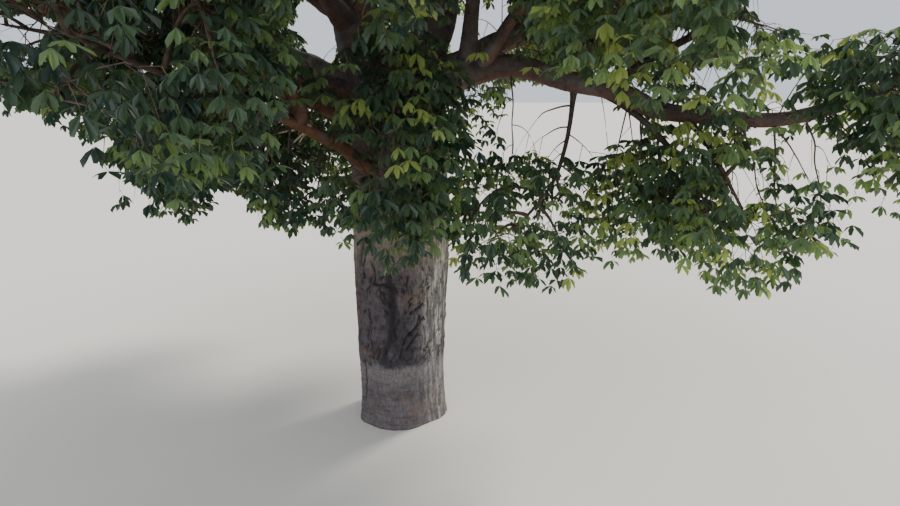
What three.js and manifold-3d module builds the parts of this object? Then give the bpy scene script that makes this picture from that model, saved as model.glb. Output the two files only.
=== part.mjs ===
// A broad baobab: one stout trunk, tapering boughs, and open masses of foliage at their tips.
// Millimetres, +Z up, with the origin at the centre of the flat cut at ground level. +X is to the right of
// someone who faces the trunk, and +Y runs away from them. Headings are degrees from +X towards +Y.
import * as THREE from "three";
import { mergeVertices } from "three/addons/utils/BufferGeometryUtils.js";
import Module from "manifold-3d";

const wasm = await Module();
wasm.setup();

// The trunk: nearly a pillar, a little fuller above breast height, with a low root flare.
const trunk = {
  height: 5100, // ground to the top of the fork's crotch
  shoulder: 4000, // where the trunk begins to round in between its boughs
  radius: 588,
  swell: 62, // how much fuller it is at swellHeight
  swellHeight: 2900,
  swellReach: 1500,
  flare: 55, // how far the root flare stands out at the ground
  flareHeight: 230,
  lean: 30, // sideways drift of the axis from the ground to the top
  closing: 0.97, // how nearly the rounded top closes, 1 being a point
  sides: 28,
  rings: 15,
};

// Folds that run up the trunk: how many there are round it, how deep they are and where one faces.
const trunkFolds = [
  { count: 2, depth: 0.022, facing: 0.5 },
  { count: 3, depth: 0.026, facing: 2.1 },
  { count: 5, depth: 0.018, facing: 0.9 },
  { count: 9, depth: 0.008, facing: 0.2 },
];

// Each limb leaves the trunk at a height, or another limb at a share of its length. It runs reach along
// its heading and climbs by rise, leaving and arriving at slopes in degrees. Root and tip are its radii.
// Its mass of foliage is wide and tall from its middle, which is ahead of the tip and above it by lift.
const limbs = [
  {
    name: "bough_right_long", from: "trunk", at: 4385, heading: -20, reach: 5650, rise: 420,
    leave: 39.5, arrive: 34, root: 172, tip: 62,
    mass: { name: "mass_right", wide: 1700, tall: 1400, ahead: 550, lift: 200 },
  },
  {
    name: "bough_right_upper", from: "trunk", at: 4650, heading: 4, reach: 3050, rise: 2150,
    leave: 24, arrive: 46, root: 165, tip: 70,
    mass: { name: "mass_right_upper", wide: 1800, tall: 1350, ahead: 900, lift: 650 },
  },
  {
    name: "bough_front_left", from: "trunk", at: 3300, heading: 239, reach: 2850, rise: 1330,
    leave: 32, arrive: 14, root: 92, tip: 52,
    mass: { name: "mass_front_left", wide: 1700, tall: 1350, ahead: 1050, lift: 350 },
  },
  {
    name: "bough_left_front", from: "trunk", at: 4250, heading: 218, reach: 4600, rise: 1550,
    leave: 18, arrive: 24, root: 180, tip: 78,
    mass: { name: "mass_left_front", wide: 1800, tall: 1400, ahead: 1050, lift: 350 },
  },
  {
    name: "bough_left", from: "trunk", at: 4300, heading: 172, reach: 4050, rise: 1000,
    leave: 26, arrive: 12, root: 190, tip: 78,
    mass: { name: "mass_left", wide: 1850, tall: 1450, ahead: 1350, lift: 250 },
  },
  {
    name: "bough_back_left", from: "trunk", at: 4400, heading: 131, reach: 3900, rise: 1250,
    leave: 22, arrive: 20, root: 175, tip: 74,
    mass: { name: "mass_back_left", wide: 1800, tall: 1400, ahead: 1050, lift: 250 },
  },
  {
    name: "bough_back", from: "trunk", at: 4350, heading: 95, reach: 3950, rise: 1450,
    leave: 20, arrive: 24, root: 180, tip: 76,
    mass: { name: "mass_back", wide: 1800, tall: 1400, ahead: 1150, lift: 300 },
  },
  {
    name: "bough_back_right", from: "trunk", at: 4400, heading: 56, reach: 4000, rise: 1450,
    leave: 26, arrive: 18, root: 175, tip: 74,
    mass: { name: "mass_back_right", wide: 1800, tall: 1400, ahead: 1050, lift: 300 },
  },
  {
    name: "bough_front", from: "trunk", at: 4300, heading: 263, reach: 2350, rise: 1600,
    leave: 34, arrive: 28, root: 150, tip: 70,
    mass: { name: "mass_front", wide: 1550, tall: 1300, ahead: 950, lift: 450 },
  },
  {
    name: "leader_left", from: "trunk", at: 4200, heading: 162, reach: 1650, rise: 4300,
    leave: 62, arrive: 74, root: 285, tip: 88,
    mass: { name: "mass_top_left", wide: 2050, tall: 1350, ahead: -300, lift: 950 },
  },
  {
    name: "leader_right", from: "trunk", at: 4200, heading: 18, reach: 1350, rise: 4450,
    leave: 66, arrive: 76, root: 260, tip: 84,
    mass: { name: "mass_top_right", wide: 2000, tall: 1300, ahead: -300, lift: 950 },
  },
  {
    name: "limb_right_riser", from: "bough_right_long", at: 0.17, heading: 296, reach: 850, rise: 2500,
    leave: 84, arrive: 62, root: 100, tip: 54,
    mass: { name: "mass_front_right_upper", wide: 1800, tall: 1350, ahead: 500, lift: 650 },
  },
  {
    name: "limb_right_rising", from: "bough_right_long", at: 0.2, heading: 304, reach: 2050, rise: 1150,
    leave: 46, arrive: 14, root: 78, tip: 52,
    mass: { name: "mass_front_right", wide: 1650, tall: 1250, ahead: 900, lift: -200 },
  },
  {
    name: "limb_right_middle", from: "bough_right_long", at: 0.5, heading: 2, reach: 950, rise: 650,
    leave: 48, arrive: 30, root: 60, tip: 44,
    mass: { name: "mass_right_middle", wide: 1600, tall: 1200, ahead: 600, lift: 450 },
  },
  {
    name: "limb_right_droop", from: "bough_right_long", at: 0.455, heading: 346, reach: 1100, rise: -850,
    leave: -28, arrive: -44, root: 46, tip: 32,
    mass: { name: "mass_right_low", wide: 1200, tall: 950, ahead: -150, lift: -450 },
  },
  {
    name: "limb_right_hanging", from: "bough_right_long", at: 0.42, heading: 185, reach: 150, rise: -1050,
    leave: -86, arrive: -75, root: 32, tip: 24,
    mass: { name: "mass_right_hanging", wide: 1250, tall: 900, ahead: 400, lift: -550 },
  },
  {
    name: "limb_right_outer", from: "bough_right_long", at: 0.63, heading: 330, reach: 560, rise: -620,
    leave: -35, arrive: -58, root: 42, tip: 28,
    mass: { name: "mass_right_outer", wide: 1200, tall: 1100, ahead: 150, lift: -250 },
  },
  {
    name: "limb_front_low", from: "bough_front", at: 0.42, heading: 285, reach: 620, rise: 120,
    leave: 6, arrive: -34, root: 58, tip: 36,
    mass: { name: "mass_trunk_front", wide: 950, tall: 1500, ahead: 150, lift: -950 },
  },
  {
    name: "limb_left_low", from: "bough_left", at: 0.4, heading: 225, reach: 750, rise: -450,
    leave: -12, arrive: -46, root: 60, tip: 38,
    mass: { name: "mass_left_low", wide: 1450, tall: 1100, ahead: 450, lift: -600 },
  },
  {
    name: "limb_back_low", from: "bough_back", at: 0.45, heading: 142, reach: 800, rise: -350,
    leave: 0, arrive: -42, root: 58, tip: 38,
    mass: { name: "mass_back_low", wide: 1350, tall: 1000, ahead: 400, lift: -550 },
  },
  {
    name: "limb_right_back", from: "bough_back_right", at: 0.42, heading: 9, reach: 2700, rise: 800,
    leave: 24, arrive: 14, root: 105, tip: 58,
    mass: { name: "mass_right_back", wide: 1700, tall: 1300, ahead: 1000, lift: 250 },
  },
  {
    name: "limb_left_upper", from: "leader_left", at: 0.34, heading: 187, reach: 2050, rise: 1550,
    leave: 30, arrive: 40, root: 125, tip: 62,
    mass: { name: "mass_left_upper", wide: 1800, tall: 1350, ahead: 950, lift: 550 },
  },
  {
    name: "limb_back_left_upper", from: "leader_left", at: 0.42, heading: 108, reach: 1950, rise: 1350,
    leave: 30, arrive: 36, root: 115, tip: 62,
    mass: { name: "mass_back_left_upper", wide: 1750, tall: 1350, ahead: 850, lift: 450 },
  },
  {
    name: "limb_front_left_upper", from: "leader_left", at: 0.27, heading: 238, reach: 1900, rise: 2150,
    leave: 36, arrive: 46, root: 115, tip: 62,
    mass: { name: "mass_front_left_upper", wide: 1850, tall: 1400, ahead: 350, lift: 650 },
  },
  {
    name: "limb_back_right_upper", from: "leader_right", at: 0.42, heading: 58, reach: 1950, rise: 1400,
    leave: 30, arrive: 38, root: 114, tip: 60,
    mass: { name: "mass_back_right_upper", wide: 1800, tall: 1350, ahead: 850, lift: 450 },
  },
];

const limbShape = {
  handle: 0.45, // the handles of its curve, as a share of the straight way to its tip
  collar: 0.45, // how much its base swells
  collarReach: 2.2, // how many root radii the swelling fades over
  taper: 0.9, // 1 is an even taper, and less is quicker near the root
  sides: 8,
  step: 760, // how long each straight step is
  fewestSteps: 4,
};

const stem = {
  root: 0.86, // radius, as a share of the tip of the limb that carries it
  tip: 24, // radius
  bend: 0.45, // how long it holds the limb's direction, as a share of the way to the middle of its mass
  reach: 0.25, // how far past the middle it runs, as a share of the mass's width
  sides: 5,
  steps: 2,
};

const twigs = {
  count: 6, // spread evenly over the mass
  root: 34, // radius
  tip: 20,
  from: 0.9, // the length of stem that carries them
  reach: 0.5, // how far out they end, 1 being the skin of the mass
  drawnIn: [1, 0.8, 0.62], // shares of that reach, tried in turn until the twig fits
  bow: 0.1, // how far they arch up, as a share of the mass's width
  sides: 3,
  steps: 2,
};

// Each leaf stands for a spray. Sizes other than its length are shares of that.
const leaf = {
  leastLength: 340,
  lengthByWidth: 0.52, // added for each millimetre of its mass's width
  variety: 0.3, // the spread of lengths
  width: 0.7,
  thickness: 0.016,
  belly: 0.58, // how far along it is widest
  spots: 7, // how many spots along a twig may carry leaves
  lastSpot: 0.98, // shares of the twig
  firstSpot: 0.32,
  splay: 1.1, // how far it turns to the side of its twig
  tipSplay: [0, 0.6, -0.6],
  forward: 0.7,
  outward: 0.5,
  droop: 0.3,
  twist: 1.2, // the spread of its turns about its own length, in radians
  area: 104000, // a mass has one leaf for each of these in its width times its height
};

const gaps = {
  seat: 0.3, // between a limb's tip and its stem
  cut: 0.36, // by how much a piece is grown when it cuts another back
  space: 18, // what a mass leaves clear inside its own space
  limb: 22, // what a twig or leaf leaves clear of a limb
  leaf: 4, // what a leaf leaves clear of all but its own twig
};

const up = new THREE.Vector3(0, 0, 1);
const fullTurn = 2 * Math.PI;
const goldenAngle = Math.PI * (3 - Math.sqrt(5));

// A number from 0 to 1 that looks random and is the same every time.
function chance(seed, index) {
  const value = Math.sin(seed * 78.233 + index * 12.9898) * 43758.5453;
  return value - Math.floor(value);
}

function direction(heading, slope = 0) {
  const level = THREE.MathUtils.degToRad(heading);
  const climb = THREE.MathUtils.degToRad(slope);
  return new THREE.Vector3(
    Math.cos(level) * Math.cos(climb),
    Math.sin(level) * Math.cos(climb),
    Math.sin(climb),
  );
}

// Moves each vertex of a geometry to place(x, y, z), and keeps nothing but positions.
function reshape(geometry, place) {
  geometry.deleteAttribute("normal");
  geometry.deleteAttribute("uv");
  const position = geometry.getAttribute("position");
  for (let i = 0; i < position.count; i += 1) {
    const moved = place(position.getX(i), position.getY(i), position.getZ(i));
    position.setXYZ(i, moved.x, moved.y, moved.z);
  }
  return geometry;
}

function solidOf(geometry) {
  const merged = mergeVertices(geometry, 1e-3);
  return new wasm.Manifold(
    new wasm.Mesh({
      numProp: 3,
      vertProperties: merged.getAttribute("position").array,
      triVerts: new Uint32Array(merged.index.array),
    }),
  );
}

// The largest body of a solid: a sealed hollow is filled, and a loose scrap is dropped.
function mainBody(solid) {
  return solid.decompose().reduce((best, body) => (body.volume() > best.volume() ? body : best));
}

function trunkCentre(height) {
  return new THREE.Vector3((trunk.lean * height) / trunk.height, 0, height);
}

function trunkRadius(angle, height) {
  const swell = trunk.swell * Math.exp(-(((height - trunk.swellHeight) / trunk.swellReach) ** 2));
  const flare = trunk.flare * Math.exp(-height / trunk.flareHeight);
  let folded = 1;
  for (const fold of trunkFolds) folded += fold.depth * Math.cos(fold.count * (angle - fold.facing));
  const pastShoulder = Math.max(0, (height - trunk.shoulder) / (trunk.height - trunk.shoulder));
  return (trunk.radius + swell + flare) * folded * Math.sqrt(1 - (trunk.closing * pastShoulder) ** 2);
}

// The trunk, from its flat cut at the ground to its rounded top, or a copy of it grown outwards.
function trunkSolid(grow = 0) {
  const column = new THREE.CylinderGeometry(1, 1, 1, trunk.sides, trunk.rings);
  return solidOf(
    reshape(column, (x, y, z) => {
      const height = trunk.height * (y + 0.5);
      const angle = Math.atan2(x, z);
      const radius = Math.hypot(x, z) * (trunkRadius(angle, height) + grow);
      return trunkCentre(height)
        .addScaledVector(direction(THREE.MathUtils.radToDeg(angle)), radius)
        .addScaledVector(up, y === 0.5 ? grow : 0);
    }),
  );
}

// A cylinder bent along a path, with radiusAt(share) as its radius and flat ends square to the path.
function bentCylinder(path, radiusAt, sides, steps) {
  const chord = path.getPoint(1).sub(path.getPoint(0));
  const across = chord.clone().cross(up);
  if (across.length() < 0.05 * chord.length()) across.crossVectors(chord, new THREE.Vector3(1, 0, 0));
  return solidOf(
    reshape(new THREE.CylinderGeometry(1, 1, 1, sides, steps), (x, y, z) => {
      const share = y + 0.5;
      const along = path.getTangent(share);
      const side = across.clone().addScaledVector(along, -across.dot(along)).normalize();
      const radius = radiusAt(share);
      return path
        .getPoint(share)
        .addScaledVector(side, x * radius)
        .addScaledVector(side.cross(along), z * radius);
    }),
  );
}

const placed = new Map();

// Where a limb runs: its path, its radius along the way, and the middle of its mass.
function placeLimb(limb) {
  const parent = placed.get(limb.from);
  const start = parent ? parent.path.getPoint(limb.at) : trunkCentre(limb.at);
  const away = direction(limb.heading);
  const tip = start.clone().addScaledVector(away, limb.reach).addScaledVector(up, limb.rise);
  const handle = limbShape.handle * tip.distanceTo(start);
  const path = new THREE.CubicBezierCurve3(
    start,
    start.clone().addScaledVector(direction(limb.heading, limb.leave), handle),
    tip.clone().addScaledVector(direction(limb.heading, limb.arrive), -handle),
    tip,
  );
  const length = path.getLength();
  const buried = parent ? parent.radiusAt(limb.at) : trunk.radius;
  const radiusAt = (share) => {
    const shown = Math.max(0, share * length - buried);
    const collar = 1 + limbShape.collar * Math.exp(-shown / (limbShape.collarReach * limb.root));
    return THREE.MathUtils.lerp(limb.root, limb.tip, Math.min(1, share) ** limbShape.taper) * collar;
  };
  const middle = tip.clone().addScaledVector(away, limb.mass.ahead).addScaledVector(up, limb.mass.lift);
  return { ...limb, path, length, radiusAt, tipPoint: tip, middle };
}

for (const limb of limbs) placed.set(limb.name, placeLimb(limb));

// The space of a mass is an ellipsoid, cut flat where the next mass begins.
function skinDistance(mass, towards) {
  return 1 / Math.hypot(towards.x / mass.wide, towards.y / mass.wide, towards.z / mass.tall);
}

function spaceOf(limb) {
  const walls = [];
  for (const other of placed.values()) {
    if (other === limb) continue;
    const towards = other.middle.clone().sub(limb.middle);
    const distance = towards.length();
    towards.divideScalar(distance);
    const mine = skinDistance(limb.mass, towards);
    const theirs = skinDistance(other.mass, towards);
    if (distance < mine + theirs) walls.push({ towards, distance: (distance * mine) / (mine + theirs) });
  }
  return { ...limb.mass, middle: limb.middle, walls };
}

function within(space, point, margin) {
  const offset = point.clone().sub(space.middle);
  const wide = space.wide - margin;
  const tall = space.tall - margin;
  if (Math.hypot(offset.x / wide, offset.y / wide, offset.z / tall) > 1) return false;
  return space.walls.every((wall) => offset.dot(wall.towards) < wall.distance - margin);
}

// The trunk, then each limb, cut back by the trunk and by the limbs that stand before it.
const limbSolids = new Map([["trunk", trunkSolid()]]);
const cutters = [trunkSolid(gaps.cut)];
for (const { name, path, length, radiusAt } of placed.values()) {
  const steps = Math.max(limbShape.fewestSteps, Math.round(length / limbShape.step));
  const whole = bentCylinder(path, radiusAt, limbShape.sides, steps);
  limbSolids.set(name, mainBody(cutters.reduce((left, cutter) => left.subtract(cutter), whole)));
  cutters.push(bentCylinder(path, (share) => radiusAt(share) + gaps.cut, limbShape.sides, steps));
}

function clearOf(solid, others, gap) {
  return others.every((other) => solid.minGap(other, gap) >= gap);
}

// A leaf is a thin lozenge of 8 faces, with its pointed root on its twig's axis.
function leafSolid({ root, along, side, length }) {
  const normal = new THREE.Vector3().crossVectors(along, side);
  const { belly } = leaf;
  return solidOf(
    reshape(new THREE.OctahedronGeometry(1), (x, y, z) =>
      root
        .clone()
        .addScaledVector(along, length * (x > 0 ? belly + x * (1 - belly) : belly * (1 + x)))
        .addScaledVector(side, (y * length * leaf.width) / 2)
        .addScaledVector(normal, (z * length * leaf.thickness) / 2),
    ),
  );
}

// A direction of an even spiral over a sphere, with its pole along axis.
function spiralDirection(axis, index, count, spin) {
  const height = 1 - (2 * (index + 0.5)) / count;
  const ring = Math.sqrt(1 - height * height);
  const east = new THREE.Vector3().crossVectors(axis, up).normalize();
  const north = new THREE.Vector3().crossVectors(east, axis);
  const angle = index * goldenAngle + spin;
  return axis
    .clone()
    .multiplyScalar(height)
    .addScaledVector(east, ring * Math.cos(angle))
    .addScaledVector(north, ring * Math.sin(angle));
}

// The stem goes on from its limb's tip, through the middle of the mass.
function stemPath({ path, tipPoint, middle, mass }) {
  const onward = path.getTangent(1);
  const root = tipPoint.clone().addScaledVector(onward, gaps.seat);
  const way = middle.clone().sub(root);
  const bend = root.clone().addScaledVector(onward, stem.bend * way.length());
  const end = middle.clone().addScaledVector(way.normalize(), stem.reach * mass.wide);
  return new THREE.QuadraticBezierCurve3(root, bend, end);
}

// A twig from the stem towards its own part of the mass, or null if it would leave it or touch a limb.
function growTwig(space, stemCurve, index, seed) {
  const axis = stemCurve.getPoint(1).sub(stemCurve.getPoint(0)).normalize();
  const towards = spiralDirection(axis, index, twigs.count, fullTurn * chance(seed, 0));
  const toSkin = new THREE.Vector3(towards.x * space.wide, towards.y * space.wide, towards.z * space.tall);
  const root = stemCurve.getPoint(1 - (twigs.from * (index + 0.5)) / twigs.count);
  const radiusAt = (share) => THREE.MathUtils.lerp(twigs.root, twigs.tip, share);
  for (const share of twigs.drawnIn) {
    const end = space.middle.clone().addScaledVector(toSkin, twigs.reach * share);
    const bend = root.clone().lerp(end, 0.5).addScaledVector(up, twigs.bow * space.wide);
    const path = new THREE.QuadraticBezierCurve3(root, bend, end);
    const spots = [0.35, 0.6, 0.8, 1].map((spot) => path.getPoint(spot));
    if (!spots.every((spot) => within(space, spot, gaps.space + twigs.root))) continue;
    const solid = bentCylinder(path, radiusAt, twigs.sides, twigs.steps);
    if (clearOf(solid, [...limbSolids.values()], gaps.limb)) return { path, solid };
  }
  return null;
}

// The leaves that a twig could carry, from its tip back.
function leafChoices(space, path, seed, first) {
  const choices = [];
  for (let i = 0; i < leaf.spots; i += 1) {
    const share = THREE.MathUtils.lerp(leaf.lastSpot, leaf.firstSpot, i / (leaf.spots - 1));
    const root = path.getPoint(share);
    const onward = path.getTangent(share);
    const outward = root.clone().sub(space.middle).normalize();
    const across = new THREE.Vector3().crossVectors(onward, outward).normalize();
    for (const splay of i === 0 ? leaf.tipSplay : [leaf.splay, -leaf.splay]) {
      const index = first + choices.length;
      const along = onward
        .clone()
        .multiplyScalar(leaf.forward)
        .addScaledVector(across, splay)
        .addScaledVector(outward, leaf.outward)
        .addScaledVector(up, -leaf.droop)
        .normalize();
      const side = new THREE.Vector3()
        .crossVectors(along, outward)
        .normalize()
        .applyAxisAngle(along, leaf.twist * (chance(seed, index) - 0.5));
      const size = 1 + leaf.variety * (chance(seed, index + 0.5) - 0.5);
      const length = size * (leaf.leastLength + leaf.lengthByWidth * space.wide);
      choices.push({ root, along, side, length });
    }
  }
  return choices;
}

function leafInside(space, { root, along, side, length }) {
  const tip = root.clone().addScaledVector(along, length);
  const belly = root.clone().addScaledVector(along, leaf.belly * length);
  const halfWidth = (leaf.width * length) / 2;
  const left = belly.clone().addScaledVector(side, halfWidth);
  const right = belly.clone().addScaledVector(side, -halfWidth);
  return [tip, left, right].every((corner) => within(space, corner, gaps.space));
}

// A mass of foliage: its stem, its twigs, and leaves that touch nothing but the twig they grow from.
function massSolid(limb, seed) {
  const space = spaceOf(limb);
  const stemCurve = stemPath(limb);
  const stemRadius = (share) => THREE.MathUtils.lerp(limb.tip * stem.root, stem.tip, share);
  const wood = [bentCylinder(stemCurve, stemRadius, stem.sides, stem.steps)];
  const queues = [];
  for (let i = 0; i < twigs.count; i += 1) {
    const twig = growTwig(space, stemCurve, i, seed);
    if (!twig) continue;
    wood.push(twig.solid);
    queues.push({ twig: twig.solid, choices: leafChoices(space, twig.path, seed, 100 * (i + 1)) });
  }
  const wanted = Math.round((space.wide * space.tall) / leaf.area);
  const leaves = [];
  while (leaves.length < wanted && queues.some(({ choices }) => choices.length)) {
    for (const { twig, choices } of queues) {
      while (choices.length && leaves.length < wanted) {
        const choice = choices.shift();
        if (!leafInside(space, choice)) continue;
        const solid = leafSolid(choice);
        if (!clearOf(solid, [...limbSolids.values()], gaps.limb)) continue;
        if (!clearOf(solid, [...wood.filter((piece) => piece !== twig), ...leaves], gaps.leaf)) continue;
        leaves.push(solid);
        break;
      }
    }
  }
  return mainBody(wasm.Manifold.union([...wood, ...leaves]));
}

function meshOf(name, solid, material) {
  const { numProp, numVert, vertProperties, triVerts } = solid.getMesh();
  const position = new Float32Array(numVert * 3);
  for (let i = 0; i < numVert; i += 1) {
    position.set(vertProperties.subarray(i * numProp, i * numProp + 3), i * 3);
  }
  const geometry = new THREE.BufferGeometry()
    .setAttribute("position", new THREE.BufferAttribute(position, 3))
    .setIndex(new THREE.BufferAttribute(triVerts, 1));
  geometry.computeVertexNormals();
  const mesh = new THREE.Mesh(geometry, material);
  mesh.name = name;
  return mesh;
}

const trunkBark = new THREE.MeshStandardMaterial({ color: 0x7d7068, roughness: 0.9, metalness: 0 });
const boughBark = new THREE.MeshStandardMaterial({ color: 0x7a5a4a, roughness: 0.85, metalness: 0 });
const foliage = new THREE.MeshStandardMaterial({ color: 0x4b6b2f, roughness: 0.6, metalness: 0 });

const tree = new THREE.Group();
for (const [name, solid] of limbSolids) {
  tree.add(meshOf(name, solid, name === "trunk" ? trunkBark : boughBark));
}
[...placed.values()].forEach((limb, index) => {
  tree.add(meshOf(limb.mass.name, massSolid(limb, index + 1), foliage));
});

export default tree;
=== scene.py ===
import math
import bpy
import numpy as np
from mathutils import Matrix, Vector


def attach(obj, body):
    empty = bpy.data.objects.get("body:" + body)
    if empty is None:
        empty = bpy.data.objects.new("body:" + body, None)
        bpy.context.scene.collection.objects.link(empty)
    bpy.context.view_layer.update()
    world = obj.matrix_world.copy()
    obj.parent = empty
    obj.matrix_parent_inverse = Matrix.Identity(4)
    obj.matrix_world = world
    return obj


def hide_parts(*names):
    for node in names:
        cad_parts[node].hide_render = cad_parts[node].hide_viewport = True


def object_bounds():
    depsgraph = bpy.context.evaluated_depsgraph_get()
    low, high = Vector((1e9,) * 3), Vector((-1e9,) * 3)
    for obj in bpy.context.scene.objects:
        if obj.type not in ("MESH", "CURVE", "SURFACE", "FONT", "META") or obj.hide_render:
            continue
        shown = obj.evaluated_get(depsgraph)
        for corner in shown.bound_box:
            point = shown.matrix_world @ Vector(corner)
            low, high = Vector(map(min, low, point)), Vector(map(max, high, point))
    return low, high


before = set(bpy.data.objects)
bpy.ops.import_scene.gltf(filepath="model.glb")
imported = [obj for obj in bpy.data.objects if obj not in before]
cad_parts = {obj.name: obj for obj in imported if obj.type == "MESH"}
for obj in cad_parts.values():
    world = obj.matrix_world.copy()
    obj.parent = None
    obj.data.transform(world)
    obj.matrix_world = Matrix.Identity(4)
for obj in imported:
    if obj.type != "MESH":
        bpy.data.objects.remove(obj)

cadBox = [list(corner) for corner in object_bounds()]
up = np.array([0.0, 0.0, 1.0])
fullTurn = 2 * math.pi
goldenAngle = math.pi * (3 - math.sqrt(5))

# A little above the fork, looking down by the pitch.
view = {"place": (0.72, -8.3, 4.6), "pitch": 14.5, "lens": 24, "sensor": 36, "farthest": 3000}

studio = {
    "floorHalf": 600,
    "floorLevel": -0.003,
    "floorTone": (222, 217, 208),
    "skyTone": (232, 239, 248),
    "skyStrength": 1.0,
    "suns": [  # turns, strength, spread in degrees, colour; the key is behind the tree, high on the right
        ("key", (50, 0, 132), 3.6, 12, (1.0, 0.95, 0.87)),
        ("fill", (64, 0, -24), 1.1, 60, (0.93, 0.96, 1.0)),
    ],
}


# sRGB, 0 to 255, as the linear colour that a socket takes.
def tone(red, green, blue):
    parts = np.array([red, green, blue]) / 255
    linear = np.where(parts > 0.04045, ((parts + 0.055) / 1.055) ** 2.4, parts / 12.92)
    return (*linear.tolist(), 1.0)


# A value inside a material: an expression on it adds its Math nodes.
class Sock:
    def __init__(self, paint, socket):
        self.paint = paint
        self.socket = socket

    def math(self, operation, first, second):
        return self.paint.node("ShaderNodeMath", {"operation": operation}, {0: first, 1: second})

    def __add__(self, other):
        return self.math("ADD", self, other)

    __radd__ = __add__

    def __sub__(self, other):
        return self.math("SUBTRACT", self, other)

    def __rsub__(self, other):
        return self.math("SUBTRACT", other, self)

    def __mul__(self, other):
        return self.math("MULTIPLY", self, other)

    __rmul__ = __mul__


# One material, the ways to put nodes into it, and its colour so far, which starts as its first tone.
class Paint:
    def __init__(self, name, tones):
        self.material = bpy.data.materials.new(name)
        self.material.use_nodes = True
        self.tree = self.material.node_tree
        self.tree.nodes.clear()
        self.tones = {key: tone(*value) for key, value in tones.items()}
        self.colour = next(iter(self.tones.values()))

    # Settings go in first, then the values or links of the sockets; gives one output.
    def node(self, kind, settings=None, values=None, output=0):
        made = self.tree.nodes.new(kind)
        for key, value in (settings or {}).items():
            setattr(made, key, value)
        for key, value in (values or {}).items():
            if isinstance(value, Sock):
                self.tree.links.new(value.socket, made.inputs[key])
            else:
                made.inputs[key].default_value = value
        return Sock(self, made.outputs[output])

    def place(self):
        return self.node("ShaderNodeTexCoord", output="Object")

    def attribute(self, name, output="Fac"):
        return self.node("ShaderNodeAttribute", {"attribute_name": name}, output=output)

    def stretched(self, place, scale):
        return self.node("ShaderNodeMapping", {"vector_type": "POINT"}, {"Vector": place, "Scale": scale})

    def noise(self, place, scale, detail=5.0, roughness=0.6, stretch=None):
        place = self.stretched(place, stretch) if stretch else place
        values = {"Vector": place, "Scale": scale, "Detail": detail, "Roughness": roughness}
        return self.node("ShaderNodeTexNoise", None, values)

    # 0 below low and 1 above high, with a smooth change between.
    def rise(self, value, low, high):
        values = {"Value": value, "From Min": low, "From Max": high}
        return self.node("ShaderNodeMapRange", {"interpolation_type": "SMOOTHSTEP"}, values)

    # One of the tones over the colour so far, by factor.
    def lay(self, name, factor, blend="MIX"):
        settings = {"data_type": "RGBA", "blend_type": blend}
        values = {0: factor, 6: self.colour, 7: self.tones[name]}
        self.colour = self.node("ShaderNodeMix", settings, values, output=2)

    def surface(self, values):
        return self.node("ShaderNodeBsdfPrincipled", None, {"Base Color": self.colour, **values})

    def finish(self, shader):
        out = self.tree.nodes.new("ShaderNodeOutputMaterial")
        self.tree.links.new(shader.socket, out.inputs["Surface"])
        return self.material

    # Bark or bare wood: the colour so far, and relief as a bump of some strength and depth.
    def wood(self, roughness, relief, strength, depth, gloss=0.5):
        values = {"Height": relief, "Strength": strength, "Distance": depth}
        normal = self.node("ShaderNodeBump", None, values)
        values = {"Roughness": roughness, "Specular IOR Level": gloss, "Normal": normal}
        return self.finish(self.surface(values))


trunkTones = {
    "low": (112, 105, 107),  # smooth foot, up to the first line
    "middle": (86, 81, 86),  # rough, scarred band
    "high": (148, 131, 122),
    "peeled": (136, 110, 94),
    # painted sunlight, for the trunk's lit sides
    "sunlit_silver": (226, 220, 212),
    # dark of the scars and cracks, with painted shade in them
    "scar_and_shade": (38, 34, 36),
    # painted shade, bluish dark
    "painted_shade": (56, 53, 59),
}


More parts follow.
